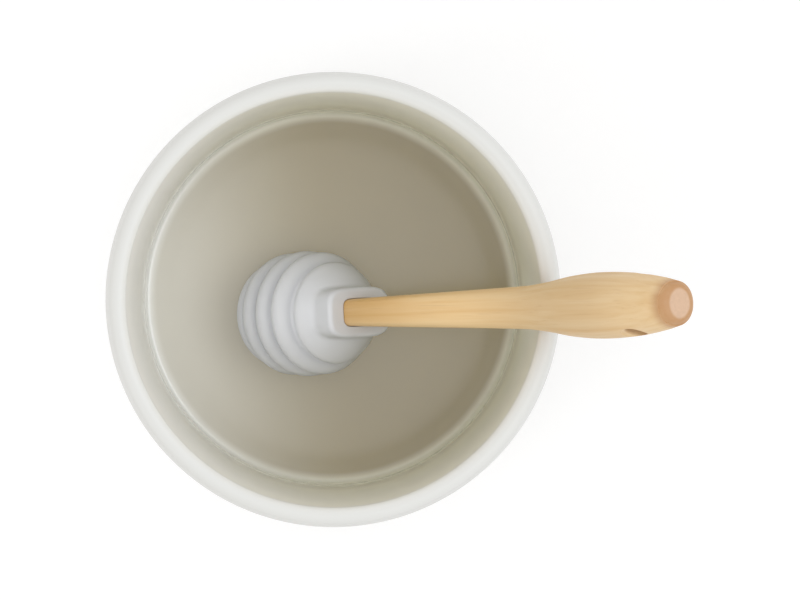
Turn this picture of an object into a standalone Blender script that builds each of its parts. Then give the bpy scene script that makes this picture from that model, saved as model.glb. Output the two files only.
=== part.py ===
"""Stoneware honey pot, open at the top, with its dipper leaning in it.

Lengths are in metres and +Z is up. The origin is the centre of the pot's flat base.
The dipper is modelled along its own +Z, from the widest rib of its head, and a parent
empty leans it until the head stands on the floor and the handle lies on the lip.
"""

import math

import bmesh
import bpy
from mathutils import Matrix, Vector

# Fits
seat_gap = 0.0003
socket_clearance = 0.0003
cut_overrun = 0.002
merge_distance = 0.00001

# Pot body
pot_height = 0.087
inner_radius = 0.0465
floor_thickness = 0.006
corner_radius = 0.0013
lip_width = 0.0039
lip_height = 0.0052
wall_relief = 0.0007
relief_height = 0.007
band_reach = 0.0016
groove_depth = 0.0019
foot_draw = 0.0026
foot_height = 0.0035
base_edge = 0.0012
band_count = 4
foot_draw_power = 6

# Dipper head
head_radius = 0.0154
dome_height = 0.0165
bowl_height = 0.0185
rib_pitch = 0.0059
rib_depth = 0.0023
rib_spacing = 0.0013
dome_power = 2.15
bowl_power = 3.0
ribs_above = 1
ribs_below = 2
rib_arc = math.radians(84)

# Oval neck of the head
mouth_height = 0.0200
neck_depth = 0.0184
neck_width = 0.0122
neck_edge = 0.0012
neck_flare = 0.0009
neck_flare_height = 0.0035
neck_root = 0.0060
neck_power = 3.8

# Dipper handle
handle_length = 0.1102
belly_width = 0.0143
belly_depth = 0.0158
tenon_length = 0.0155
tip_round = 0.0013
hanging_hole_radius = 0.0024
hole_flare = 0.0005
hole_from_tip = 0.0117
hole_turn = math.radians(15)

# Rows run from the mouth of the neck to the tip: share of the handle's length,
# share of the belly's width and share of the belly's depth
handle_station_shares = (
    (0.000, 0.458, 0.620),
    (0.151, 0.516, 0.660),
    (0.323, 0.579, 0.715),
    (0.484, 0.639, 0.768),
    (0.575, 0.684, 0.812),
    (0.641, 0.783, 0.875),
    (0.711, 0.933, 0.955),
    (0.792, 1.000, 1.000),
    (0.884, 0.932, 0.930),
    (0.954, 0.780, 0.775),
    (0.988, 0.668, 0.650),
)
shoulder_power = 3.4
belly_power = 2.1
round_from_share = 0.62

# How the dipper lies in the pot
head_back = 0.0052
head_aside = 0.0035
bearing = math.radians(2.5)
steepest_lean = math.radians(5)
flattest_lean = math.radians(80)

# Fineness
pot_sides = 64
head_sides = 44
section_sides = 32
band_steps = 6
rib_steps = 8
round_steps = 4
cap_steps = 6
slice_steps = 3
lean_halvings = 40
smooth_angle = math.radians(38)

# Finishes: base colour and roughness
glaze_finish = ((0.84, 0.84, 0.82), 0.14)
silicone_finish = ((0.55, 0.55, 0.56), 0.55)
wood_finish = ((0.72, 0.52, 0.31), 0.5)


def clear_scene():
    for item in list(bpy.data.objects):
        bpy.data.objects.remove(item, do_unlink=True)


def new_collection(name):
    collection = bpy.data.collections.new(name)
    bpy.context.scene.collection.children.link(collection)
    return collection


clear_scene()
parts = new_collection("honey_pot")
cutters = new_collection("honey_pot_cutters")


def new_material(name, colour, roughness):
    material = bpy.data.materials.new(name)
    material.use_nodes = True
    shader = material.node_tree.nodes["Principled BSDF"]
    shader.inputs["Base Color"].default_value = (*colour, 1)
    shader.inputs["Roughness"].default_value = roughness
    shader.inputs["Metallic"].default_value = 0
    return material


def new_object(name, mesh, collection, parent=None):
    piece = bpy.data.objects.new(name, mesh)
    collection.objects.link(piece)
    piece.parent = parent
    return piece


def hide_cutter(piece):
    piece.hide_render = True
    piece.display_type = "WIRE"


def arc(centre_r, centre_z, radius, start, end, steps):
    """Points of an arc in the profile plane, both ends included."""
    angles = [start + (end - start) * i / steps for i in range(steps + 1)]
    return [(centre_r + radius * math.cos(a), centre_z + radius * math.sin(a)) for a in angles]


def turned(name, profile, sides, collection, parent=None):
    """A profile in the XZ plane, turned about Z by a Screw modifier."""
    mesh = bpy.data.meshes.new(name)
    edges = [(i, i + 1) for i in range(len(profile) - 1)]
    mesh.from_pydata([(r, 0, z) for r, z in profile], edges, [])
    piece = new_object(name, mesh, collection, parent)
    screw = piece.modifiers.new("turn", "SCREW")
    screw.axis = "Z"
    screw.steps = sides
    screw.render_steps = sides
    screw.use_merge_vertices = True
    screw.merge_threshold = merge_distance
    screw.use_smooth_shade = True
    return piece


def oval_ring(half_depth, half_width, power, height):
    """A rounded section: X is the depth of the oval, Y its width."""
    ring = []
    for i in range(section_sides):
        a = math.tau * i / section_sides
        c, s = math.cos(a), math.sin(a)
        x = half_depth * math.copysign(abs(c) ** (2 / power), c)
        y = half_width * math.copysign(abs(s) ** (2 / power), s)
        ring.append(Vector((x, y, height)))
    return ring


def lofted(name, rings, collection, parent=None):
    """A closed skin through rings of equal count, from the lowest to the highest."""
    body = bmesh.new()
    loops = [[body.verts.new(point) for point in ring] for ring in rings]
    count = len(rings[0])
    for low, high in zip(loops, loops[1:]):
        for i in range(count):
            j = (i + 1) % count
            body.faces.new((low[i], low[j], high[j], high[i]))
    body.faces.new(reversed(loops[0]))
    body.faces.new(loops[-1])
    mesh = bpy.data.meshes.new(name)
    body.to_mesh(mesh)
    body.free()
    return new_object(name, mesh, collection, parent)


def combine(piece, other, operation):
    step = piece.modifiers.new(other.name, "BOOLEAN")
    step.operation = operation
    step.solver = "EXACT"
    step.object = other


def apply_modifiers(piece):
    """Swaps a piece's mesh for its evaluated one and shades it smooth up to the smooth angle."""
    bpy.context.view_layer.update()
    evaluated = piece.evaluated_get(bpy.context.evaluated_depsgraph_get())
    mesh = bpy.data.meshes.new_from_object(evaluated)
    piece.modifiers.clear()
    piece.data = mesh
    mesh.shade_smooth()
    mesh.set_sharp_from_angle(angle=smooth_angle)


# Pot


def lip_crest_radius():
    return inner_radius + lip_width / 2


def band_profile():
    """Stacked rounded bands from the groove under the lip down to the foot."""
    top = pot_height - lip_height
    crest = inner_radius + lip_width + band_reach
    count = band_count * band_steps
    points = []
    for i in range(count + 1):
        down = i / count
        across = 2 * (i % band_steps) / band_steps - 1
        r = crest - foot_draw * down**foot_draw_power - groove_depth * across**2
        points.append((r, top + (foot_height - top) * down))
    return points


def wall_profile():
    """The inside: the floor's round corner and a straight wall that draws in to the lip."""
    wall_radius = inner_radius + wall_relief
    corner_height = floor_thickness + corner_radius
    corner = arc(
        wall_radius - corner_radius, corner_height, corner_radius, -math.pi / 2, 0, round_steps
    )
    top = pot_height - lip_width / 2
    rising = [i / round_steps for i in range(round_steps)]
    return corner + [
        (wall_radius - wall_relief * u * u * (3 - 2 * u), top - relief_height * (1 - u))
        for u in rising
    ]


def pot_profile():
    """Inside first: floor, corner, wall, lip, bands, foot and base."""
    quarter = math.pi / 2
    lip_radius = lip_width / 2
    bands = band_profile()
    foot_radius = bands[-1][0]
    inside = wall_profile()
    lip = arc(lip_crest_radius(), pot_height - lip_radius, lip_radius, math.pi, 0, 2 * round_steps)
    foot = arc(foot_radius - base_edge, base_edge, base_edge, 0, -quarter, round_steps)
    return [(0, floor_thickness), *inside, *lip, *bands, *foot, (0, 0)]


def make_pot():
    pot = turned("pot_body", pot_profile(), pot_sides, parts)
    apply_modifiers(pot)
    pot.data.materials.append(new_material("white_glaze", *glaze_finish))


# Dipper head


def cap_point(reach, power, angle):
    """A point of the head's outline: height from the widest rib and radius there."""
    height = reach * math.sin(angle) ** (2 / power)
    radius = head_radius * max(0, math.cos(angle)) ** (2 / power)
    return height, radius


def envelope(t):
    """Radius of the smooth egg that the ribs are cut into, at height t."""
    reach, power = (dome_height, dome_power) if t > 0 else (bowl_height, bowl_power)
    return head_radius * (1 - (abs(t) / reach) ** power) ** (1 / power)


def cap_outline(reach, power, start):
    """The smooth end of the head, from height start to the pole."""
    first = math.asin((start / reach) ** (power / 2))
    angles = [first + (math.pi / 2 - first) * i / cap_steps for i in range(cap_steps + 1)]
    points = [cap_point(reach, power, angle) for angle in angles]
    return points[:-1] + [(reach, 0)]


def rib_points(centre, first, last):
    """One round rib, from angle first to angle last; it meets its grooves at rib_arc."""
    points = []
    steps = round(rib_steps * abs(first - last) / (2 * rib_arc))
    half_height = (rib_pitch - rib_spacing) / 2
    for i in range(steps + 1):
        angle = first + (last - first) * i / steps
        t = centre + half_height * math.sin(angle) / math.sin(rib_arc)
        cut = rib_depth * (1 - math.cos(angle)) / (1 - math.cos(rib_arc))
        points.append((envelope(t) - cut, t))
    return points


def head_profile():
    dome_start = rib_pitch * (ribs_above + 1)
    bowl_start = rib_pitch * ribs_below
    dome = [(r, t) for t, r in reversed(cap_outline(dome_height, dome_power, dome_start))]
    bowl = [(r, -t) for t, r in cap_outline(bowl_height, bowl_power, bowl_start)]
    points = dome[:-1] + rib_points(dome_start, 0, -rib_arc)
    for row in range(ribs_above, -ribs_below, -1):
        points += rib_points(row * rib_pitch, rib_arc, -rib_arc)
    points += rib_points(-bowl_start, rib_arc, 0)
    return points + bowl[1:]


def neck_rings():
    half_depth, half_width = neck_depth / 2, neck_width / 2
    flare_top = mouth_height - neck_edge - neck_flare_height
    flare_foot = flare_top - neck_flare_height
    rings = [(neck_root, neck_flare)]
    for i in range(round_steps + 1):
        down = 1 - i / round_steps
        rings.append((flare_top - (flare_top - flare_foot) * down, neck_flare * down**2))
    edge = arc(-neck_edge, mouth_height - neck_edge, neck_edge, 0, math.pi / 2, round_steps)
    rings += [(height, inset) for inset, height in edge]
    return [
        oval_ring(half_depth + grow, half_width + grow, neck_power, height)
        for height, grow in rings
    ]


def socket_rings():
    half_depth, half_width = shoulder_size()
    half_depth += socket_clearance
    half_width += socket_clearance
    floor = mouth_height - tenon_length - socket_clearance
    top = mouth_height + cut_overrun
    return [oval_ring(half_depth, half_width, shoulder_power, z) for z in (floor, top)]


def make_head(dipper):
    head = turned("dipper_head", head_profile(), head_sides, parts, dipper)
    neck = lofted("neck_form", neck_rings(), cutters, dipper)
    socket = lofted("socket_cutter", socket_rings(), cutters, dipper)
    hide_cutter(neck)
    hide_cutter(socket)
    combine(head, neck, "UNION")
    combine(head, socket, "DIFFERENCE")
    apply_modifiers(head)
    head.data.materials.append(new_material("grey_silicone", *silicone_finish))


# Dipper handle


def smooth_between(rows, at):
    """Reads the rows at a share of the length, on a smooth curve through all of them."""
    last = len(rows) - 1
    i = max(k for k in range(last) if rows[k][0] <= at)
    span = rows[i + 1][0] - rows[i][0]
    u = (at - rows[i][0]) / span
    values = []
    for column in (1, 2):

        def slope(k):
            a, b = max(k - 1, 0), min(k + 1, last)
            return (rows[b][column] - rows[a][column]) / (rows[b][0] - rows[a][0])

        start, end = rows[i][column], rows[i + 1][column]
        rise = (2 * u**3 - 3 * u**2 + 1) * start + (3 * u**2 - 2 * u**3) * end
        bend = (u**3 - 2 * u**2 + u) * slope(i) + (u**3 - u**2) * slope(i + 1)
        values.append(rise + span * bend)
    return values


def handle_size(t):
    """Half depth and half width of the handle at height t."""
    along = (t - mouth_height) / handle_length
    along = min(max(along, 0), handle_station_shares[-1][0])
    width_share, depth_share = smooth_between(handle_station_shares, along)
    return belly_depth * depth_share / 2, belly_width * width_share / 2


def shoulder_size():
    return handle_size(mouth_height)


def section_power(along):
    """The section is a rounded rectangle at the neck and turns oval towards the belly."""
    u = min(along / round_from_share, 1)
    return shoulder_power + (belly_power - shoulder_power) * u * u * (3 - 2 * u)


def handle_rings():
    rings = [oval_ring(*shoulder_size(), shoulder_power, mouth_height - tenon_length)]
    rows = [row[0] for row in handle_station_shares]
    for a, b in zip(rows, rows[1:]):
        for i in range(slice_steps):
            along = a + (b - a) * i / slice_steps
            t = mouth_height + handle_length * along
            rings.append(oval_ring(*handle_size(t), section_power(along), t))
    tip = mouth_height + handle_length
    half_depth, half_width = handle_size(tip)
    for inset, height in arc(-tip_round, tip - tip_round, tip_round, 0, math.pi / 2, round_steps):
        rings.append(oval_ring(half_depth + inset, half_width + inset, belly_power, height))
    return rings


def hole_profile():
    """The hanging hole's cutter, flared where it leaves the wood."""
    hole_height = mouth_height + handle_length - hole_from_tip
    mouth = handle_size(hole_height)[1]
    outer = hanging_hole_radius + hole_flare
    end = mouth + cut_overrun
    rows = [(0, end), (outer + cut_overrun, end), (hanging_hole_radius, mouth - hole_flare)]
    return hole_height, rows + [(r, -y) for r, y in reversed(rows)]


def make_handle(dipper):
    handle = lofted("dipper_handle", handle_rings(), parts, dipper)
    hole_height, profile = hole_profile()
    hole = turned("hanging_hole_cutter", profile, section_sides, cutters, dipper)
    hole.location = (0, 0, hole_height)
    hole.rotation_euler = (math.pi / 2, 0, -hole_turn)
    apply_modifiers(hole)
    hide_cutter(hole)
    combine(handle, hole, "DIFFERENCE")
    apply_modifiers(handle)
    handle.data.materials.append(new_material("pale_wood", *wood_finish))


# Seating


def head_drop(lean):
    """How far the head reaches below its widest rib's centre at this lean."""
    return max(r * math.sin(lean) - t * math.cos(lean) for r, t in head_profile())


def lip_gap(lean):
    """Gap between the underside of the handle and the round of the lip."""
    lip_radius = lip_width / 2
    reach = math.sqrt(lip_crest_radius() ** 2 - head_aside**2) + head_back
    rise = pot_height - lip_radius - (floor_thickness + seat_gap + head_drop(lean))
    along = reach * math.sin(lean) + rise * math.cos(lean)
    aside = reach * math.cos(lean) - rise * math.sin(lean)
    return aside - handle_size(along)[0] - lip_radius


def resting_lean():
    """The lean at which the handle lies on the lip, found by halving."""
    low, high = steepest_lean, flattest_lean
    for _ in range(lean_halvings):
        middle = (low + high) / 2
        if lip_gap(middle) > seat_gap:
            low = middle
        else:
            high = middle
    return (low + high) / 2


def place_dipper():
    """An empty at the widest rib's centre, leaning along the bearing."""
    lean = resting_lean()
    dipper = bpy.data.objects.new("dipper", None)
    parts.objects.link(dipper)
    turn = Matrix.Rotation(bearing, 4, "Z")
    height = floor_thickness + seat_gap + head_drop(lean)
    place = turn @ Vector((-head_back, -head_aside, height))
    dipper.matrix_world = Matrix.Translation(place) @ turn @ Matrix.Rotation(lean, 4, "Y")
    bpy.context.view_layer.update()
    print(f"lean {math.degrees(lean):.2f} deg, head centre {[round(v * 1000, 2) for v in place]} mm")
    return dipper


def main():
    make_pot()
    dipper = place_dipper()
    make_head(dipper)
    make_handle(dipper)


main()
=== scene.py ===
"""Looks of an open stoneware honey pot and of the silicone honey dipper that leans in it.

The file is laid out as an add-on and is run as a script. Lengths are in metres, +Z is up
and the origin is the centre of the pot's base, as in the frame that is loaded below.
"""

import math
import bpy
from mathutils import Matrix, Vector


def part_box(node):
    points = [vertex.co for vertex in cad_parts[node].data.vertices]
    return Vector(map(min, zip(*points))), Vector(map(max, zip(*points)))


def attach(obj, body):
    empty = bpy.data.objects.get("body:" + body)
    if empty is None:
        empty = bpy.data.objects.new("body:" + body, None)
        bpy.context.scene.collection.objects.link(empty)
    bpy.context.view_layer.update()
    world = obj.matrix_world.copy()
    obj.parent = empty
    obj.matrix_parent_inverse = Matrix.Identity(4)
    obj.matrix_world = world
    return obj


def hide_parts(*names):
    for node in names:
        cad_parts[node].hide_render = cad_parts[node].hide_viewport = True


bl_info = {
    "name": "Honey Pot",
    "version": (1, 0, 0),
    "blender": (4, 5, 0),
    "location": "View3D > Sidebar > Honey Pot",
    "description": "Makes the glazed pot, the dipper that leans in it, and the stage",
    "category": "Object",
}

import bmesh
import bpy
from bpy.props import FloatProperty, FloatVectorProperty, IntProperty, PointerProperty
from bpy.types import Operator, Panel, PropertyGroup
from mathutils import Matrix

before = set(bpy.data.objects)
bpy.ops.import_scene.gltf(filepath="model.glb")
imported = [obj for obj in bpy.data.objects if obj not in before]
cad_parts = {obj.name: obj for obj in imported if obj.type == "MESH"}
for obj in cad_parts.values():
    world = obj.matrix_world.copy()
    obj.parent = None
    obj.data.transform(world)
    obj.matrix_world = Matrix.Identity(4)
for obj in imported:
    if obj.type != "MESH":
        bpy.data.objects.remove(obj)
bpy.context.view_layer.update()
pot_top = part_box("pot_body")[1]

# Points nearer than this are one point, and a cutter reaches this far past a surface
merge_distance = 0.000002
cut_overrun = 0.002

# Lens and aim of the camera, in pixels of a picture of this width; the sensor in millimetres
picture_width = 800
focal_length = 2687
aim_right, aim_down = 86, 18
sensor_width = 36
softbox_distance = 1.2


# Settings


def length(name, default, description):
    return FloatProperty(
        name=name, description=description, default=default, unit="LENGTH", precision=5
    )


def angle(name, degrees, description):
    return FloatProperty(
        name=name, description=description, default=math.radians(degrees), subtype="ANGLE"
    )


def share(name, default, description):
    return FloatProperty(name=name, description=description, default=default, subtype="FACTOR")


def number(name, default, description):
    return FloatProperty(name=name, description=description, default=default)


def count(name, default, description):
    return IntProperty(name=name, description=description, default=default, min=1)


def colour(name, default, description):
    return FloatVectorProperty(
        name=name, description=description, default=default, subtype="COLOR", size=3
    )


class PotSettings(PropertyGroup):
    height: length("Height", pot_top.z, "Height of the pot up to its lip")
    outer_radius: length("Outer Radius", pot_top.x, "Radius at the crest of the widest band")
    inner_radius: length("Lip Inner Radius", 0.0465, "Inner radius at the lip")
    wall_relief: length("Wall Relief", 0.0007, "How far the inner wall steps back below the lip")
    relief_height: length("Relief Height", 0.007, "Height over which the wall draws in to the lip")
    floor_thickness: length("Floor Thickness", 0.006, "Thickness of the floor")
    corner_radius: length("Corner Radius", 0.0013, "Round between the floor and the wall")
    lip_width: length("Lip Width", 0.0039, "Width of the round lip")
    lip_height: length("Lip Height", 0.0052, "Height from the first groove to the lip's top")
    groove_depth: length("Groove Depth", 0.0019, "Depth of the grooves between the bands")
    groove_round: share("Groove Round", 0.16, "How softly the glaze fills the grooves")
    foot_draw: length("Foot Draw", 0.0026, "How far the bands draw in at the foot")
    foot_height: length("Foot Height", 0.0035, "Height at which the last band ends")
    foot_edge: length("Foot Edge", 0.0012, "Round of the foot's edge")
    draw_power: number("Draw Power", 6, "How late the draw starts")
    bands: count("Bands", 4, "Rounded bands between the lip and the foot")
    band_rows: count("Rows per Band", 18, "Fineness of each band")
    sides: count("Sides", 256, "Fineness round the pot")
    white_glaze: colour("White Glaze", (0.62, 0.62, 0.60), "Glaze of the outside and the lip")
    # Painted light: a lighter tint on the lip's inner edge, where the lip turns down into shade
    lip_edge_painted_light: colour("Lip Glaze", (0.71, 0.71, 0.685), "Glaze that runs over the lip's inner edge")
    # Inner wall's glaze tint with painted light: much lighter than the outside glaze, standing in for
    # light deep in the pot
    wall_glaze_painted_light: colour("Wall Glaze", (0.94, 0.93, 0.80), "Glaze of the inner wall")
    # Glaze tint of the floor with painted shade, far darker than the wall's; it shows fully on the
    # right of the floor, where the wall's shadow falls
    floor_glaze_painted_shade: colour("Pooled Glaze", (0.41, 0.345, 0.206), "Glaze that pools on the floor")
    # Painted light: the lower wall painted paler towards the left, where the light from the right
    # falls
    left_wall_painted_light: colour("Thin Wall Glaze", (0.97, 0.965, 0.93), "Paler wall where the glaze is thin")
    # Painted light: the floor painted paler towards the left, where the light from the right falls
    left_floor_painted_light: colour("Thin Floor Glaze", (0.66, 0.63, 0.55), "Floor where the glaze is thin")
    fade_height: length("Fade Height", 0.016, "Height over which the inner glaze fades at the lip")
    # Painted light falls off up the wall: this darkens the upper wall so that the lower wall stays
    # painted lighter
    wall_painted_light_falloff: colour("Upper Wall Shade", (0.84, 0.84, 0.86), "Shade of the wall below the lip")
    glaze_edge: length("Glaze Edge", 0.0018, "Height above the foot at which the glaze ends")
    bare_clay: colour("Bare Clay", (0.60, 0.54, 0.46), "Unglazed clay of the foot")


class DipperSettings(PropertyGroup):
    lean: angle("Lean", 35.89, "Lean of the dipper from upright")
    bearing: angle("Bearing", 2.5, "Direction in which the handle leans out")
    head_centre: FloatVectorProperty(
        name="Head Centre",
        description="Centre of the head's widest rib",
        default=(-0.00504, -0.00372, 0.0256),
        subtype="XYZ",
        unit="LENGTH",
        size=3,
    )
    head_radius: length("Head Radius", 0.0154, "Radius of the widest rib")
    dome_height: length("Dome Height", 0.0165, "Reach of the head above its widest rib")
    bowl_height: length("Bowl Height", 0.0185, "Reach of the head below its widest rib")
    dome_power: number("Dome Power", 2.15, "Fullness of the dome")
    bowl_power: number("Bowl Power", 3.0, "Fullness of the bowl")
    rib_pitch: length("Rib Pitch", 0.0063, "Distance from rib to rib")
    rib_depth: length("Rib Depth", 0.0023, "Depth of the straight sides between the ribs")
    rib_spacing: length("Rib Spacing", 0.0016, "Width of the grooves between the ribs")
    groove_sag: length("Groove Sag", 0.0004, "How far the round bottom of a groove sags")
    rib_arc: angle("Rib Arc", 80, "Half of the arc that each rib shows")
    rib_start: length("Rib Start", 0.01115, "Height of the first crest above the widest rib")
    grooves: count("Grooves", 4, "Grooves of the head")
    rib_rows: count("Rows per Rib", 28, "Fineness of each rib")
    head_sides: count("Head Sides", 160, "Fineness round the head")
    mouth_height: length("Mouth Height", 0.0200, "Height of the neck's mouth above the widest rib")
    neck_depth: length("Neck Depth", 0.0184, "Depth of the oval neck")
    neck_width: length("Neck Width", 0.0122, "Width of the oval neck")
    neck_edge: length("Neck Edge", 0.0012, "Round of the neck's mouth")
    neck_fillet: length("Neck Fillet", 0.0011, "Fillet where the neck meets the dome")
    neck_power: number("Neck Power", 3.8, "Squareness of the neck")
    socket_clearance: length("Socket Clearance", 0.00012, "Gap round the wooden tenon")
    handle_length: length("Handle Length", 0.1105, "Length from the neck's mouth to the tip")
    tenon_length: length("Tenon Length", 0.0155, "Depth of the tenon in the neck")
    belly_width: length("Belly Width", 0.0143, "Width of the handle's belly")
    belly_depth: length("Belly Depth", 0.0158, "Depth of the handle's belly")
    tip_round: length("Tip Round", 0.0025, "Height of the tip's round edge")
    tip_depth_round: length("Tip Depth Round", 0.0025, "Reach of that edge across the depth")
    tip_width_round: length("Tip Width Round", 0.0019, "Reach of that edge across the width")
    hole_radius: length("Hole Radius", 0.0024, "Radius of the hanging hole")
    hole_flare: length("Hole Flare", 0.0006, "Round where the hanging hole leaves the wood")
    hole_from_tip: length("Hole From Tip", 0.0112, "Distance from the hanging hole to the tip")
    hole_turn: angle("Hole Turn", 21, "How far the hanging hole is turned about the handle")
    handle_sides: count("Handle Sides", 112, "Fineness round the handle")
    silicone: colour("Silicone", (0.60, 0.61, 0.635), "Moulded silicone of the head")
    pale_wood: colour("Pale Wood", (0.86, 0.62, 0.335), "Light fibres of the handle")
    honey_wood: colour("Honey Wood", (0.72, 0.43, 0.155), "Dark fibres of the handle")
    # Painted shade: multiplies the wood darker over the belly
    belly_painted_shade: colour("Belly Shade", (0.72, 0.725, 0.75), "Shade of the belly's wood")
    ring_reach: length("Ring Reach", 0.0042, "How far the cut fibres show below the tip")
    ring_full: length("Ring Full", 0.0006, "Where the cut fibres are darkest, below the tip")
    end_grain: colour("End Grain", (0.37, 0.165, 0.06), "Cut fibres round the tip")
    tip_wood: colour("Tip Wood", (0.56, 0.375, 0.25), "Sanded flat end of the tip")


class StageSettings(PropertyGroup):
    floor_size: length("Floor Size", 8.0, "Width of the floor")
    floor_tone: colour("Floor Tone", (0.915, 0.92, 0.935), "Paper of the floor")
    floor_glow: number("Floor Glow", 0.14, "Light of the lit paper")
    sky_tone: colour("Sky Tone", (1.01, 1.0, 0.98), "Light all round")
    sky_strength: number("Sky Strength", 0.96, "Strength of that light")
    camera_height: length("Camera Height", 0.6, "Height of the camera above the lip")
    camera_place: FloatVectorProperty(
        name="Camera Place",
        description="Point of the lip's plane under the camera",
        default=(-0.00451, 0.00402),
        unit="LENGTH",
        size=2,
    )


# Handle rows run from the neck's mouth to the tip: share of the handle's length, share of
# the belly's width and share of the belly's depth
handle_station_shares = (
    (0.000, 0.458, 0.620),
    (0.151, 0.516, 0.660),
    (0.323, 0.579, 0.715),
    (0.484, 0.639, 0.768),
    (0.575, 0.684, 0.812),
    (0.641, 0.783, 0.875),
    (0.711, 0.933, 0.955),
    (0.792, 1.000, 1.000),
    (0.884, 0.932, 0.930),
    (0.954, 0.780, 0.775),
    (0.988, 0.668, 0.650),
)
shoulder_power = 4.8
belly_power = 2.1
round_from_share = 0.62


# Node arithmetic


class Term:
    """A socket of a node tree, so that node arithmetic reads as arithmetic."""

    def __init__(self, tree, socket):
        self.tree = tree
        self.socket = socket

    def calc(self, operation, *values):
        return calc(self.tree, operation, self, *values)

    def __add__(self, other):
        return self.calc("ADD", other)

    def __sub__(self, other):
        return self.calc("SUBTRACT", other)

    def __rsub__(self, other):
        return calc(self.tree, "SUBTRACT", other, self)

    def __mul__(self, other):
        return self.calc("MULTIPLY", other)

    def __truediv__(self, other):
        return self.calc("DIVIDE", other)

    def __rtruediv__(self, other):
        return calc(self.tree, "DIVIDE", other, self)

    def __pow__(self, other):
        return self.calc("POWER", other)

    __radd__ = __add__
    __rmul__ = __mul__


def feed(tree, socket, value):
    """Links a term or a socket to a socket, or sets the socket to a plain value."""
    if isinstance(value, Term):
        value = value.socket
    if isinstance(value, bpy.types.NodeSocket):
        tree.links.new(value, socket)
    else:
        socket.default_value = value


def calc(tree, operation, *values):
    node = tree.nodes.new("ShaderNodeMath")
    node.operation = operation
    for socket, value in zip(node.inputs, values):
        feed(tree, socket, value)
    return Term(tree, node.outputs[0])


def add_node(tree, kind, inputs=(), **options):
    """A new node; inputs are pairs of a socket's name or number and its value."""
    node = tree.nodes.new(kind)
    for name, value in options.items():
        setattr(node, name, value)
    for socket, value in inputs:
        feed(tree, node.inputs[socket], value)
    return node


def split(tree, vector):
    node = add_node(tree, "ShaderNodeSeparateXYZ", [(0, vector)])
    return [Term(tree, socket) for socket in node.outputs]


def smooth_step(tree, value, start, end):
    """0 at start and 1 at end, with soft ends; start may be above end."""
    node = add_node(
        tree,
        "ShaderNodeMapRange",
        [("Value", value), ("From Min", start), ("From Max", end)],
        interpolation_type="SMOOTHSTEP",
    )
    return Term(tree, node.outputs[0])


def mix_colour(tree, amount, low, high, blend="MIX"):
    node = add_node(tree, "ShaderNodeMix", data_type="RGBA", blend_type=blend)
    feed(tree, node.inputs[0], amount)
    feed(tree, node.inputs[6], low)
    feed(tree, node.inputs[7], high)
    return node.outputs[2]


# Geometry node trees


def new_tree(name, inputs):
    """A geometry tree with a named input for each pair of a name and a kind."""
    tree = bpy.data.node_groups.new(name, "GeometryNodeTree")
    tree.interface.new_socket("Mesh", in_out="OUTPUT", socket_type="NodeSocketGeometry")
    for label, kind in inputs:
        tree.interface.new_socket(label, in_out="INPUT", socket_type="NodeSocket" + kind)
    entry = tree.nodes.new("NodeGroupInput")
    return tree, [Term(tree, entry.outputs[label]) for label, kind in inputs]


def turn_rows(tree, rows, sides, material, shape):
    """Ends a tree with a sheet of rows round Z; shape gives a row's radius and height."""
    grid = add_node(tree, "GeometryNodeMeshGrid", [(0, 1), (1, 1), (2, rows + 1), (3, sides + 1)])
    place = tree.nodes.new("GeometryNodeInputPosition")
    along, round_share, _ = split(tree, place.outputs[0])
    radius, height = shape(along + 0.5)
    turn = (round_share + 0.5) * math.tau
    point = add_node(
        tree,
        "ShaderNodeCombineXYZ",
        [(0, radius * turn.calc("COSINE")), (1, radius * turn.calc("SINE")), (2, height)],
    )
    steps = (
        ("GeometryNodeSetPosition", {"Position": point.outputs[0]}),
        ("GeometryNodeMergeByDistance", {"Distance": merge_distance}),
        ("GeometryNodeRealizeInstances", {}),
        ("GeometryNodeSetMaterial", {"Material": material}),
    )
    flow = grid.outputs["Mesh"]
    for kind, inputs in steps:
        flow = add_node(tree, kind, [("Geometry", flow), *inputs.items()]).outputs["Geometry"]
    end = tree.nodes.new("NodeGroupOutput")
    tree.links.new(flow, end.inputs[0])


def evaluated_mesh(piece):
    bpy.context.view_layer.update()
    graph = bpy.context.evaluated_depsgraph_get()
    return bpy.data.meshes.new_from_object(piece.evaluated_get(graph), depsgraph=graph)


def run_tree(tree, values):
    """The plain mesh that the tree makes from these inputs."""
    holder = bpy.data.objects.new(tree.name, bpy.data.meshes.new(tree.name))
    bpy.context.scene.collection.objects.link(holder)
    step = holder.modifiers.new(tree.name, "NODES")
    step.node_group = tree
    for item in tree.interface.items_tree:
        if item.in_out == "INPUT":
            step[item.identifier] = values[item.name]
    mesh = evaluated_mesh(holder)
    bpy.data.objects.remove(holder)
    return mesh


def banded_wall_tree():
    """Stacked rounded bands that draw in towards the foot."""
    tree, (crest, top, foot, bands, depth, soft, draw, power, rows, sides, material) = new_tree(
        "Banded Wall",
        [
            ("Crest Radius", "Float"),
            ("Top", "Float"),
            ("Foot", "Float"),
            ("Bands", "Int"),
            ("Groove Depth", "Float"),
            ("Groove Round", "Float"),
            ("Foot Draw", "Float"),
            ("Draw Power", "Float"),
            ("Rows per Band", "Int"),
            ("Sides", "Int"),
            ("Material", "Material"),
        ],
    )

    def shape(down):
        across = (down * bands).calc("FRACT") * 2 - 1
        rise = 1 - across * across
        bulge = (rise * rise + soft * soft) ** 0.5
        full = (soft * soft + 1) ** 0.5
        radius = crest - draw * down**power - depth * (full - bulge)
        return radius, top + (foot - top) * down

    turn_rows(tree, bands * rows, sides, material, shape)
    return tree


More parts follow.
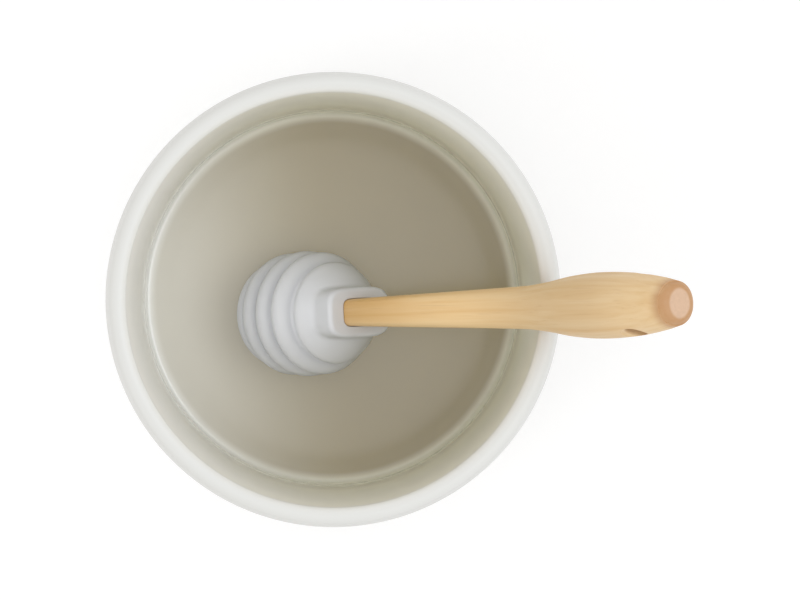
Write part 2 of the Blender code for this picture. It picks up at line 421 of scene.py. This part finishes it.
def ribbed_head_tree():
    """Round ribs and soft grooves cut into an egg, from the dome's edge to the bowl's edge."""
    tree, inputs = new_tree(
        "Ribbed Head",
        [
            ("Radius", "Float"),
            ("Dome Height", "Float"),
            ("Bowl Height", "Float"),
            ("Dome Power", "Float"),
            ("Bowl Power", "Float"),
            ("Rib Pitch", "Float"),
            ("Rib Depth", "Float"),
            ("Rib Spacing", "Float"),
            ("Groove Sag", "Float"),
            ("Rib Arc", "Float"),
            ("Start", "Float"),
            ("Grooves", "Int"),
            ("Rows per Rib", "Int"),
            ("Sides", "Int"),
            ("Material", "Material"),
        ],
    )
    egg, pitch, depth, spacing, sag, arc = inputs[:5], *inputs[5:10]
    start, grooves, rows, sides, material = inputs[10:]
    groove_rows_share = 1 / 6

    def shape(along):
        place = along * grooves
        number = place.calc("FLOOR")
        beside = place - number - 0.5
        side = beside.calc("SIGN")
        off = beside.calc("ABSOLUTE")
        on_rib = off.calc("GREATER_THAN", groove_rows_share)
        turn = arc * (0.5 - off) / (0.5 - groove_rows_share)
        rib_step = pitch / 2 - (pitch - spacing) / 2 * turn.calc("SINE") / arc.calc("SINE")
        rib_cut = depth * (1 - turn.calc("COSINE")) / (1 - arc.calc("COSINE"))
        quarter = off * (math.pi / 2 / groove_rows_share)
        groove_step = spacing / 2 * quarter.calc("SINE")
        groove_cut = depth + sag * quarter.calc("COSINE")
        step = groove_step + on_rib * (rib_step - groove_step)
        cut = groove_cut + on_rib * (rib_cut - groove_cut)
        height = start - (number + 0.5) * pitch - side * step
        return egg_radius(height, *egg) - cut, height

    turn_rows(tree, grooves * rows, sides, material, shape)
    return tree


def egg_radius(height, radius, dome, bowl, dome_power, bowl_power):
    """Node arithmetic for the radius of the egg at a height."""
    above = height.calc("GREATER_THAN", 0)
    reach = bowl + above * (dome - bowl)
    power = bowl_power + above * (dome_power - bowl_power)
    return radius * (1 - (height.calc("ABSOLUTE") / reach) ** power) ** (1 / power)


# Meshes


def arc_points(centre_r, centre_z, radius, start, end, steps):
    turns = [start + (end - start) * i / steps for i in range(steps + 1)]
    return [(centre_r + radius * math.cos(a), centre_z + radius * math.sin(a)) for a in turns]


def skin(rows):
    """A mesh through rows of points; a row of one point is a pole."""
    body = bmesh.new()
    loops = [[body.verts.new(point) for point in row] for row in rows]
    for low, high in zip(loops, loops[1:]):
        sides = max(len(low), len(high))
        for i in range(sides):
            j = (i + 1) % sides
            if len(low) == 1:
                body.faces.new((low[0], high[j], high[i]))
            elif len(high) == 1:
                body.faces.new((low[i], low[j], high[0]))
            else:
                body.faces.new((low[i], low[j], high[j], high[i]))
    mesh = bpy.data.meshes.new("skin")
    body.to_mesh(mesh)
    body.free()
    return mesh


def turned_rows(profile, sides):
    """Rows round Z from points of radius and height; a point on the axis is a pole."""
    turns = [math.tau * i / sides for i in range(sides)]
    rows = []
    for r, z in profile:
        ring = [(r * math.cos(a), r * math.sin(a), z) for a in turns]
        rows.append(ring if r > merge_distance else [(0, 0, z)])
    return rows


def closed_mesh(name, meshes, material, sharp=40):
    """Joins sheets that meet edge to edge into one closed mesh whose faces point outwards."""
    body = bmesh.new()
    for mesh in meshes:
        body.from_mesh(mesh)
    bmesh.ops.remove_doubles(body, verts=body.verts, dist=merge_distance)
    bmesh.ops.recalc_face_normals(body, faces=body.faces)
    open_edges = sum(not edge.is_manifold for edge in body.edges)
    if open_edges:
        raise RuntimeError(f"{name} has {open_edges} open edges")
    joined = bpy.data.meshes.new(name)
    body.to_mesh(joined)
    body.free()
    joined.materials.append(material)
    joined.shade_smooth()
    joined.set_sharp_from_angle(angle=math.radians(sharp))
    return joined


def new_piece(name, mesh):
    piece = bpy.data.objects.new(name, mesh)
    bpy.context.scene.collection.objects.link(piece)
    return piece


def dress(piece, body, node):
    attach(piece, body)
    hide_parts(node)


# Pot


def lip_and_wall(pot):
    """From the top of the first groove over the lip and down the inside to the floor's middle."""
    lip = pot.lip_width / 2
    quarter = math.pi / 2
    wall = pot.inner_radius + pot.wall_relief
    corner = pot.corner_radius
    top = pot.height - lip
    groove = pot.height - pot.lip_height
    rim = pot.inner_radius + pot.lip_width
    points = [(groove_radius(pot), groove)]
    points += [(rim, groove + (top - groove) * i / 4) for i in range(2, 4)]
    points += arc_points(pot.inner_radius + lip, top, lip, 0, math.pi, 24)
    for i in range(1, 17):
        u = i / 16
        step_back = pot.wall_relief * u * u * (3 - 2 * u)
        points.append((pot.inner_radius + step_back, top - pot.relief_height * u))
    low = pot.floor_thickness + corner
    high = top - pot.relief_height
    points += [(wall, high + (low - high) * i / 12) for i in range(1, 12)]
    points += arc_points(wall - corner, low, corner, 0, -quarter, 10)
    points += [((wall - corner) * (1 - i / 10), pot.floor_thickness) for i in range(1, 11)]
    return points


def groove_radius(pot):
    """Radius at the bottom of the first groove, as the banded wall has it."""
    soft = pot.groove_round
    return pot.outer_radius - pot.groove_depth * (math.sqrt(1 + soft * soft) - soft)


def foot_points(pot):
    foot = groove_radius(pot) - pot.foot_draw
    edge = pot.foot_edge
    points = [(foot, pot.foot_height)]
    points += arc_points(foot - edge, edge, edge, 0, -math.pi / 2, 8)
    return points + [((foot - edge) * (1 - i / 6), 0) for i in range(1, 7)]


class HONEYPOT_OT_pot(Operator):
    """Turn the pot with its stacked bands and glaze it"""

    bl_idname = "honeypot.pot"
    bl_label = "Glazed Pot"

    def execute(self, context):
        pot = context.scene.honey_pot
        glaze = glaze_material(pot)
        bands = run_tree(
            banded_wall_tree(),
            {
                "Crest Radius": pot.outer_radius,
                "Top": pot.height - pot.lip_height,
                "Foot": pot.foot_height,
                "Bands": pot.bands,
                "Groove Depth": pot.groove_depth,
                "Groove Round": pot.groove_round,
                "Foot Draw": pot.foot_draw,
                "Draw Power": pot.draw_power,
                "Rows per Band": pot.band_rows,
                "Sides": pot.sides,
                "Material": glaze,
            },
        )
        inside = skin(turned_rows(lip_and_wall(pot), pot.sides))
        foot = skin(turned_rows(foot_points(pot), pot.sides))
        piece = new_piece("glazed_pot", closed_mesh("glazed_pot", [bands, inside, foot], glaze))
        dress(piece, "pot", "pot_body")
        return {"FINISHED"}


# Dipper


def dipper_matrix(dipper):
    turn = Matrix.Rotation(dipper.bearing, 4, "Z")
    lean = Matrix.Rotation(dipper.lean, 4, "Y")
    return Matrix.Translation(dipper.head_centre) @ turn @ lean


def oval_radius(half_depth, half_width, power, turn):
    """Radius of a rounded section in the direction turn."""
    across = abs(math.cos(turn) / half_depth) ** power + abs(math.sin(turn) / half_width) ** power
    return across ** (-1 / power)


def dome_at(dipper, radius):
    share_out = radius / dipper.head_radius
    return dipper.dome_height * (1 - share_out**dipper.dome_power) ** (1 / dipper.dome_power)


def egg_at(dipper, height):
    dome = (dipper.dome_height, dipper.dome_power)
    bowl = (dipper.bowl_height, dipper.bowl_power)
    reach, power = dome if height > 0 else bowl
    return dipper.head_radius * (1 - (abs(height) / reach) ** power) ** (1 / power)


def bezier(start, bend, end, steps):
    """Points on a quadratic curve, without its start."""
    points = []
    for i in range(1, steps + 1):
        u = i / steps
        shares = ((1 - u) ** 2, 2 * u * (1 - u), u * u)
        columns = zip(start, bend, end)
        points.append(tuple(sum(s * v for s, v in zip(shares, values)) for values in columns))
    return points


def neck_section(dipper, turn):
    """Radius and height from the dome's edge over the neck and its mouth down into the socket."""
    edge_height = dipper.rib_start
    edge_radius = egg_at(dipper, edge_height)
    neck = oval_radius(dipper.neck_depth / 2, dipper.neck_width / 2, dipper.neck_power, turn)
    fillet = dipper.neck_fillet
    shoulder = neck + fillet
    half_depth, half_width = handle_size(dipper, dipper.mouth_height)
    gap = dipper.socket_clearance
    socket = oval_radius(half_depth + gap, half_width + gap, shoulder_power, turn)
    points = [(edge_radius, edge_height)]
    for i in range(1, 13):
        r = edge_radius + (shoulder - edge_radius) * i / 12
        points.append((r, dome_at(dipper, r)))
    base = dome_at(dipper, neck)
    points += bezier(points[-1], (neck, base), (neck, base + fillet), 8)
    edge = dipper.neck_edge
    low = base + fillet
    high = dipper.mouth_height - edge
    points += [(neck, low + (high - low) * i / 6) for i in range(1, 6)]
    points += arc_points(neck - edge, high, edge, 0, math.pi / 2, 10)
    rim = gap
    inner = socket + rim
    outer = neck - edge
    points += [(outer + (inner - outer) * i / 4, dipper.mouth_height) for i in range(1, 4)]
    points += [
        (inner - rim * math.sin(a), dipper.mouth_height - rim * (1 - math.cos(a)))
        for a in (math.pi / 2 * i / 4 for i in range(5))
    ]
    deep = dipper.mouth_height - dipper.tenon_length - gap
    top = dipper.mouth_height - rim
    points += [(socket, top + (deep - top) * i / 8) for i in range(1, 9)]
    return points


def neck_rows(dipper):
    turns = [math.tau * i / dipper.head_sides for i in range(dipper.head_sides)]
    sections = [neck_section(dipper, turn) for turn in turns]
    rows = [
        [(r * math.cos(a), r * math.sin(a), z) for (r, z), a in zip(ring, turns)]
        for ring in zip(*sections)
    ]
    return rows + [[(0, 0, rows[-1][0][2])]]


def bowl_rows(dipper):
    """The smooth lower end of the head, from the lowest rib's crest to the pole."""
    start = dipper.rib_pitch * dipper.grooves - dipper.rib_start
    power = dipper.bowl_power
    first = math.asin((start / dipper.bowl_height) ** (power / 2))
    steps = 28
    points = []
    for i in range(steps):
        a = first + (math.pi / 2 - first) * i / steps
        r = dipper.head_radius * math.cos(a) ** (2 / power)
        points.append((r, -dipper.bowl_height * math.sin(a) ** (2 / power)))
    return turned_rows(points + [(0, -dipper.bowl_height)], dipper.head_sides)


class HONEYPOT_OT_dipper_head(Operator):
    """Mould the ribbed head with its oval neck and socket"""

    bl_idname = "honeypot.dipper_head"
    bl_label = "Silicone Head"

    def execute(self, context):
        dipper = context.scene.honey_dipper
        silicone = silicone_material(dipper)
        ribs = run_tree(
            ribbed_head_tree(),
            {
                "Radius": dipper.head_radius,
                "Dome Height": dipper.dome_height,
                "Bowl Height": dipper.bowl_height,
                "Dome Power": dipper.dome_power,
                "Bowl Power": dipper.bowl_power,
                "Rib Pitch": dipper.rib_pitch,
                "Rib Depth": dipper.rib_depth,
                "Rib Spacing": dipper.rib_spacing,
                "Groove Sag": dipper.groove_sag,
                "Rib Arc": dipper.rib_arc,
                "Start": dipper.rib_start,
                "Grooves": dipper.grooves,
                "Rows per Rib": dipper.rib_rows,
                "Sides": dipper.head_sides,
                "Material": silicone,
            },
        )
        sheets = [ribs, skin(neck_rows(dipper)), skin(bowl_rows(dipper))]
        mesh = closed_mesh("silicone_head", sheets, silicone)
        mesh.transform(dipper_matrix(dipper))
        dress(new_piece("silicone_head", mesh), "dipper", "dipper_head")
        return {"FINISHED"}


def smooth_between(rows, at):
    """Reads the rows at a share of the length, on a smooth curve through all of them."""
    last = len(rows) - 1
    i = max(k for k in range(last) if rows[k][0] <= at)
    span = rows[i + 1][0] - rows[i][0]
    u = (at - rows[i][0]) / span

    def slope(k, column):
        a, b = max(k - 1, 0), min(k + 1, last)
        return (rows[b][column] - rows[a][column]) / (rows[b][0] - rows[a][0])

    values = []
    for column in (1, 2):
        start, end = rows[i][column], rows[i + 1][column]
        rise = (2 * u**3 - 3 * u**2 + 1) * start + (3 * u**2 - 2 * u**3) * end
        bend = (u**3 - 2 * u**2 + u) * slope(i, column) + (u**3 - u**2) * slope(i + 1, column)
        values.append(rise + span * bend)
    return values


def handle_size(dipper, height):
    """Half depth and half width of the handle at a height above the widest rib."""
    along = (height - dipper.mouth_height) / dipper.handle_length
    along = min(max(along, 0), handle_station_shares[-1][0])
    width_share, depth_share = smooth_between(handle_station_shares, along)
    return dipper.belly_depth * depth_share / 2, dipper.belly_width * width_share / 2


def section_power(along):
    u = min(max(along, 0) / round_from_share, 1)
    return shoulder_power + (belly_power - shoulder_power) * u * u * (3 - 2 * u)


def oval_row(half_depth, half_width, power, height, sides):
    row = []
    for i in range(sides):
        a = math.tau * i / sides
        c, s = math.cos(a), math.sin(a)
        x = half_depth * math.copysign(abs(c) ** (2 / power), c)
        y = half_width * math.copysign(abs(s) ** (2 / power), s)
        row.append((x, y, height))
    return row


def handle_rows(dipper):
    sides = dipper.handle_sides
    mouth = dipper.mouth_height
    tip = mouth + dipper.handle_length
    foot = mouth - dipper.tenon_length
    shoulder = handle_size(dipper, mouth)
    last_share = handle_station_shares[-1][0]
    rows = [[(0, 0, foot)]]
    for i in range(6):
        rows.append(oval_row(*shoulder, shoulder_power, foot + (mouth - foot) * i / 6, sides))
    for i in range(121):
        along = last_share * i / 120
        height = mouth + dipper.handle_length * along
        rows.append(oval_row(*handle_size(dipper, height), section_power(along), height, sides))
    half_depth, half_width = handle_size(dipper, tip)
    for turn in (math.pi / 2 * i / 16 for i in range(1, 17)):
        height = tip - dipper.tip_round * (1 - math.sin(turn))
        if height > rows[-1][0][2] + merge_distance:
            inset = 1 - math.cos(turn)
            depth = half_depth - dipper.tip_depth_round * inset
            width = half_width - dipper.tip_width_round * inset
            rows.append(oval_row(depth, width, belly_power, height, sides))
    flat_depth = half_depth - dipper.tip_depth_round
    flat_width = half_width - dipper.tip_width_round
    rows += [
        oval_row(flat_depth * (1 - i / 5), flat_width * (1 - i / 5), belly_power, tip, sides)
        for i in range(1, 5)
    ]
    return rows + [[(0, 0, tip)]]


def hole_cutter(dipper):
    """The hanging hole with its rounded mouths, across the handle."""
    height = dipper.mouth_height + dipper.handle_length - dipper.hole_from_tip
    mouth = handle_size(dipper, height)[1]
    radius, flare = dipper.hole_radius, dipper.hole_flare
    half = [(radius, 0)]
    for i in range(9):
        a = math.pi / 2 * i / 8
        half.append((radius + flare * (1 - math.cos(a)), mouth - flare + flare * math.sin(a)))
    half.append((radius + flare + cut_overrun, mouth + cut_overrun))
    upper = half + [(0, mouth + cut_overrun)]
    lower = [(r, -y) for r, y in reversed(upper[1:])]
    mesh = closed_mesh("hole_cutter", [skin(turned_rows(lower + upper, 72))], None)
    place = Matrix.Translation((0, 0, height)) @ Matrix.Rotation(-dipper.hole_turn, 4, "Z")
    mesh.transform(place @ Matrix.Rotation(math.pi / 2, 4, "X"))
    return new_piece("hole_cutter", mesh)


class HONEYPOT_OT_dipper_handle(Operator):
    """Shape the wooden handle, bore its hanging hole and give it its grain"""

    bl_idname = "honeypot.dipper_handle"
    bl_label = "Wooden Handle"

    def execute(self, context):
        dipper = context.scene.honey_dipper
        wood = wood_material(dipper)
        stick = closed_mesh("handle_blank", [skin(handle_rows(dipper))], wood)
        blank = new_piece("handle_blank", stick)
        cutter = hole_cutter(dipper)
        bore = blank.modifiers.new("hanging hole", "BOOLEAN")
        bore.operation = "DIFFERENCE"
        bore.solver = "EXACT"
        bore.object = cutter
        mesh = closed_mesh("wooden_handle", [evaluated_mesh(blank)], wood)
        bpy.data.objects.remove(blank)
        bpy.data.objects.remove(cutter)
        mesh.transform(dipper_matrix(dipper))
        dress(new_piece("wooden_handle", mesh), "dipper", "dipper_handle")
        return {"FINISHED"}


# Finishes


def new_material(name):
    material = bpy.data.materials.new(name)
    material.use_nodes = True
    tree = material.node_tree
    return material, tree, tree.nodes["Principled BSDF"]


def mottle_group():
    """Soft cloudy changes of tone, and a fine uneven height, on any surface."""
    name = "Mottle"
    if name in bpy.data.node_groups:
        return bpy.data.node_groups[name]
    group = bpy.data.node_groups.new(name, "ShaderNodeTree")
    for label, kind in (
        ("Place", "Vector"),
        ("Cloud Scale", "Float"),
        ("Speck Scale", "Float"),
    ):
        group.interface.new_socket(label, in_out="INPUT", socket_type="NodeSocket" + kind)
    for label in ("Cloud", "Speck"):
        group.interface.new_socket(label, in_out="OUTPUT", socket_type="NodeSocketFloat")
    entry = group.nodes.new("NodeGroupInput")
    end = group.nodes.new("NodeGroupOutput")
    for row, detail in (("Cloud", 3), ("Speck", 1)):
        noise = add_node(
            group,
            "ShaderNodeTexNoise",
            [
                ("Vector", entry.outputs["Place"]),
                ("Scale", entry.outputs[row + " Scale"]),
                ("Detail", detail),
            ],
        )
        group.links.new(noise.outputs["Fac"], end.inputs[row])
    return group


def mottle(tree, place, cloud_scale, speck_scale):
    node = add_node(tree, "ShaderNodeGroup", node_tree=mottle_group())
    feed(tree, node.inputs["Place"], place)
    node.inputs["Cloud Scale"].default_value = cloud_scale
    node.inputs["Speck Scale"].default_value = speck_scale
    return Term(tree, node.outputs["Cloud"]), Term(tree, node.outputs["Speck"])


def bump(tree, shader, height, distance):
    node = add_node(tree, "ShaderNodeBump", [("Height", height)])
    node.inputs["Distance"].default_value = distance
    tree.links.new(node.outputs[0], shader.inputs["Normal"])


def opaque(tint):
    return (*tint, 1)


def object_place(tree):
    return tree.nodes.new("ShaderNodeTexCoord").outputs["Object"]


def toned(tree, tint, cloud, swing):
    """A tint that a cloudy value makes up to swing darker or lighter."""
    if not isinstance(tint, bpy.types.NodeSocket):
        tint = opaque(tint)
    node = add_node(tree, "ShaderNodeHueSaturation", [("Color", tint)])
    feed(tree, node.inputs["Value"], cloud * (2 * swing) + (1 - swing))
    return node.outputs[0]


def glaze_material(pot):
    """White glaze outside and over the lip, with painted light on the lip's inner edge; warm grey
    glaze inside, with painted shade on the floor, painted light low on the wall and painted light
    towards the left; bare clay under the foot.
    """
    material, tree, shader = new_material("glaze")
    place = object_place(tree)
    x, y, z = split(tree, place)
    cloud, speck = mottle(tree, place, 60, 900)
    wander = (cloud - 0.5) * 0.0003
    radius = (x * x + y * y) ** 0.5 + wander
    above_floor = z.calc("GREATER_THAN", pot.floor_thickness / 2)
    lip = pot.lip_width / 2
    within = smooth_step(tree, radius, pot.inner_radius + 0.0006, pot.inner_radius - 0.0001)
    below = smooth_step(tree, z, pot.height - lip, pot.height - lip * 1.4)
    under_lip = below * radius.calc("LESS_THAN", pot.inner_radius + lip)
    inner = within.calc("MAXIMUM", under_lip) * above_floor
    edge_fade = 0.0003
    clay = smooth_step(tree, z + wander * 2, pot.glaze_edge + edge_fade, pot.glaze_edge - edge_fade)
    # Painted light on the lip's inner half, lighter than the white glaze
    lip_edge_lit = smooth_step(tree, radius, pot.inner_radius + lip * 0.9, pot.inner_radius)
    lip_tint = mix_colour(tree, lip_edge_lit, opaque(pot.white_glaze), opaque(pot.lip_edge_painted_light))
    white = toned(tree, lip_tint, cloud, 0.015)
    # Painted light: this share grows towards the left of the pot and mixes the floor's and the wall's
    # tints from their shaded copies to their lit copies
    painted_lit = smooth_step(tree, x + y * 0.12, 0.004, -0.047)
    tints = ((pot.floor_glaze_painted_shade, pot.left_floor_painted_light), (pot.wall_glaze_painted_light, pot.left_wall_painted_light))
    painted_floor, lower = (
        toned(tree, mix_colour(tree, painted_lit, opaque(right_tint), opaque(left_lit_tint)), cloud, 0.02)
        for right_tint, left_lit_tint in tints
    )
    # How far the wall's painted light has fallen off, from low on the wall upwards; less on the left
    high = smooth_step(tree, z, pot.height * 0.23, pot.height * 0.68) * (1 - painted_lit * 0.5)
    wall = mix_colour(tree, high, lower, opaque(pot.wall_painted_light_falloff), "MULTIPLY")
    wall_radius = pot.inner_radius + pot.wall_relief
    # The wall's painted-light tint reaches in over the corner round to the floor's edge
    up_wall = smooth_step(tree, radius, pot.inner_radius * 0.948, wall_radius)
    fade = smooth_step(tree, z, pot.height - pot.fade_height, pot.height - lip) * 0.8
    lined = mix_colour(tree, fade, mix_colour(tree, up_wall, painted_floor, wall), white)
    glazed = mix_colour(tree, inner, white, lined)
    bare = toned(tree, pot.bare_clay, speck, 0.12)
    tree.links.new(mix_colour(tree, clay, glazed, bare), shader.inputs["Base Color"])
    corner = pot.corner_radius
    wall_matt = smooth_step(tree, z, pot.floor_thickness + corner, pot.height * 0.34)
    gloss = 0.46 - inner * (0.24 - wall_matt * 0.58) + speck * 0.03
    feed(tree, shader.inputs["Roughness"], gloss + clay * 0.3)
    feed(tree, shader.inputs["Coat Weight"], inner * (1 - wall_matt) * 0.6)
    shader.inputs["Coat Roughness"].default_value = 0.14
    shader.inputs["Coat IOR"].default_value = 1.7
    bump(tree, shader, cloud * 0.6 + speck * 0.1, 0.00004)
    return material


def silicone_material(dipper):
    """Matt moulded silicone with a fine skin."""
    material, tree, shader = new_material("silicone")
    place = object_place(tree)
    cloud, speck = mottle(tree, place, 90, 3500)
    tree.links.new(toned(tree, dipper.silicone, cloud, 0.02), shader.inputs["Base Color"])
    feed(tree, shader.inputs["Roughness"], speck * 0.12 + 0.46)
    bump(tree, shader, speck, 0.00001)
    return material


def wood_material(dipper):
    """Fine straight grain along the handle, with darker cut fibres round the tip, painted shade near
    the neck and painted shade over the belly.
    """
    material, tree, shader = new_material("wood")
    placing = add_node(
        tree, "ShaderNodeMapping", [("Vector", object_place(tree))], vector_type="TEXTURE"
    )
    matrix = dipper_matrix(dipper)
    placing.inputs["Location"].default_value = matrix.to_translation()
    placing.inputs["Rotation"].default_value = matrix.to_euler()
    local = placing.outputs[0]
    x, y, z = split(tree, local)

    def streaks(across, along, detail, distortion=0.0):
        stretch = add_node(tree, "ShaderNodeMapping", [("Vector", local)])
        stretch.inputs["Scale"].default_value = (across, across, along)
        noise = add_node(
            tree,
            "ShaderNodeTexNoise",
            [
                ("Vector", stretch.outputs[0]),
                ("Scale", 1),
                ("Detail", detail),
                ("Distortion", distortion),
            ],
        )
        return Term(tree, noise.outputs["Fac"])

    broad = streaks(190, 7, 2, 0.9)
    fine = streaks(900, 16, 4, 0.4)
    pores = smooth_step(tree, streaks(2600, 60, 1), 0.62, 0.76)
    start = dipper.mouth_height
    along = (z - start) / dipper.handle_length
    # Painted shade: darker, warmer fibres near the neck, where the handle reaches down into the pot
    honey = smooth_step(tree, along, 0.34, 0.04) * 0.25
    amount = honey + (broad - 0.5) * 1.6 + (fine - 0.5) * 0.9 + 0.3
    fibres = mix_colour(tree, amount, opaque(dipper.pale_wood), opaque(dipper.honey_wood))
    # Painted shade over the belly, lifted a little towards the tip
    belly = smooth_step(tree, along, 0.34, 0.72) - smooth_step(tree, along, 0.78, 0.94) * 0.25
    shaded_fibres = mix_colour(tree, belly, fibres, opaque(dipper.belly_painted_shade), "MULTIPLY")
    speckled = mix_colour(tree, pores * 0.12, shaded_fibres, opaque(dipper.end_grain))
    tip = start + dipper.handle_length
    cut = smooth_step(tree, z + (broad - 0.5) * 0.002, tip - dipper.ring_reach, tip - dipper.ring_full)
    sine, cosine = math.sin(dipper.hole_turn), math.cos(dipper.hole_turn)
    beside = x * cosine - y * sine
    above = z - (tip - dipper.hole_from_tip)
    from_bore = (beside * beside + above * above) ** 0.5
    bore = smooth_step(tree, from_bore, dipper.hole_radius * 1.15, dipper.hole_radius) * 0.3
    ringed = mix_colour(tree, (cut * 0.75).calc("MAXIMUM", bore), speckled, opaque(dipper.end_grain))
    half_depth, half_width = handle_size(dipper, tip)
    out_depth = x / (half_depth - dipper.tip_depth_round)
    out_width = y / (half_width - dipper.tip_width_round)
    out = (out_depth * out_depth + out_width * out_width) ** 0.5 + (fine - 0.5) * 0.12
    flat = smooth_step(tree, out, 1.22, 0.96) * z.calc("GREATER_THAN", tip - dipper.tip_round)
    capped = mix_colour(tree, flat, ringed, toned(tree, dipper.tip_wood, fine, 0.12))
    tree.links.new(capped, shader.inputs["Base Color"])
    feed(tree, shader.inputs["Roughness"], fine * 0.2 + 0.42)
    bump(tree, shader, fine * 0.5 - pores * 0.5, 0.00004)
    return material


def floor_material(stage):
    material, tree, shader = new_material("floor_paper")
    place = object_place(tree)
    cloud, speck = mottle(tree, place, 3, 400)
    tree.links.new(toned(tree, stage.floor_tone, cloud, 0.01), shader.inputs["Base Color"])
    shader.inputs["Roughness"].default_value = 0.8
    shader.inputs["Emission Color"].default_value = (1, 1, 1, 1)
    shader.inputs["Emission Strength"].default_value = stage.floor_glow
    return material


# Stage


def add_softbox(name, azimuth, from_zenith, size, radiance, tone=(1, 1, 1)):
    """A square softbox that looks at the pot from a direction in degrees."""
    lamp = bpy.data.lights.new(name, "AREA")
    lamp.size = size
    lamp.energy = radiance * math.pi * size * size
    lamp.color = tone
    box = bpy.data.objects.new(name, lamp)
    bpy.context.scene.collection.objects.link(box)
    lift = Matrix.Translation((0, 0, pot_top.z))
    turn = Matrix.Rotation(math.radians(azimuth), 4, "Z")
    tilt = Matrix.Rotation(math.radians(from_zenith), 4, "Y")
    box.matrix_world = lift @ turn @ tilt @ Matrix.Translation((0, 0, softbox_distance))
    return box


def light_only(box, *pieces):
    """Lets a light fall on these pieces alone, as a flag in a studio does."""
    lit = bpy.data.collections.new(box.name + "_pieces")
    for piece in pieces:
        lit.objects.link(piece)
    box.light_linking.receiver_collection = lit


class HONEYPOT_OT_stage(Operator):
    """Lay the floor, hang the lights and place the camera"""

    bl_idname = "honeypot.stage"
    bl_label = "Stage"

    def execute(self, context):
        stage = context.scene.honey_stage
        half = stage.floor_size / 2
        corners = [(-half, -half, 0), (half, -half, 0), (half, half, 0), (-half, half, 0)]
        mesh = bpy.data.meshes.new("floor")
        mesh.from_pydata(corners, [], [(0, 1, 2, 3)])
        mesh.materials.append(floor_material(stage))
        new_piece("floor", mesh)

        world = bpy.data.worlds.new("soft_sky")
        world.use_nodes = True
        sky = world.node_tree.nodes["Background"]
        sky.inputs["Color"].default_value = opaque(stage.sky_tone)
        sky.inputs["Strength"].default_value = stage.sky_strength
        context.scene.world = world

        pot, head, handle = (
            bpy.data.objects[name] for name in ("glazed_pot", "silicone_head", "wooden_handle")
        )
        add_softbox("overhead_softbox", azimuth=0, from_zenith=0, size=0.35, radiance=1.0)
        add_softbox("left_softbox", azimuth=205, from_zenith=60, size=0.5, radiance=1.8)
        right = add_softbox(
            "right_softbox", azimuth=6, from_zenith=33, size=0.85, radiance=2.1, tone=(0.94, 1.0, 1.08)
        )
        light_only(right, pot, handle)
        head_light = add_softbox(
            "head_softbox", azimuth=185, from_zenith=20, size=0.7, radiance=3.2, tone=(0.99, 1.0, 1.02)
        )
        light_only(head_light, head)

        lens = bpy.data.cameras.new("camera")
        lens.lens = focal_length * sensor_width / picture_width
        lens.sensor_width = sensor_width
        camera = bpy.data.objects.new("camera", lens)
        context.scene.collection.objects.link(camera)
        camera.location = (*stage.camera_place, pot_top.z + stage.camera_height)
        nod = math.atan(aim_down / focal_length)
        swing = math.atan(aim_right / focal_length)
        camera.rotation_euler = (-nod, -swing, 0)
        context.scene.camera = camera
        context.scene.view_settings.view_transform = "Standard"
        return {"FINISHED"}


# Sidebar


class HONEYPOT_PT_sidebar(Panel):
    """Lists what the honey pot is made of"""

    bl_idname = "HONEYPOT_PT_sidebar"
    bl_label = "Honey Pot"
    bl_space_type = "VIEW_3D"
    bl_region_type = "UI"
    bl_category = "Honey Pot"

    def draw(self, context):
        for operator in operators:
            self.layout.operator(operator.bl_idname)
        scene = context.scene
        for settings in (scene.honey_pot, scene.honey_dipper, scene.honey_stage):
            box = self.layout.box()
            for name in settings.bl_rna.properties.keys():
                if name not in ("rna_type", "name"):
                    box.prop(settings, name)


operators = (
    HONEYPOT_OT_pot,
    HONEYPOT_OT_dipper_head,
    HONEYPOT_OT_dipper_handle,
    HONEYPOT_OT_stage,
)
classes = (PotSettings, DipperSettings, StageSettings, *operators, HONEYPOT_PT_sidebar)


def register():
    for item in classes:
        bpy.utils.register_class(item)
    bpy.types.Scene.honey_pot = PointerProperty(type=PotSettings)
    bpy.types.Scene.honey_dipper = PointerProperty(type=DipperSettings)
    bpy.types.Scene.honey_stage = PointerProperty(type=StageSettings)


def unregister():
    del bpy.types.Scene.honey_stage
    del bpy.types.Scene.honey_dipper
    del bpy.types.Scene.honey_pot
    for item in reversed(classes):
        bpy.utils.unregister_class(item)


def main():
    register()
    bpy.ops.honeypot.pot()
    bpy.ops.honeypot.dipper_head()
    bpy.ops.honeypot.dipper_handle()
    bpy.ops.honeypot.stage()


if __name__ == "__main__":
    main()
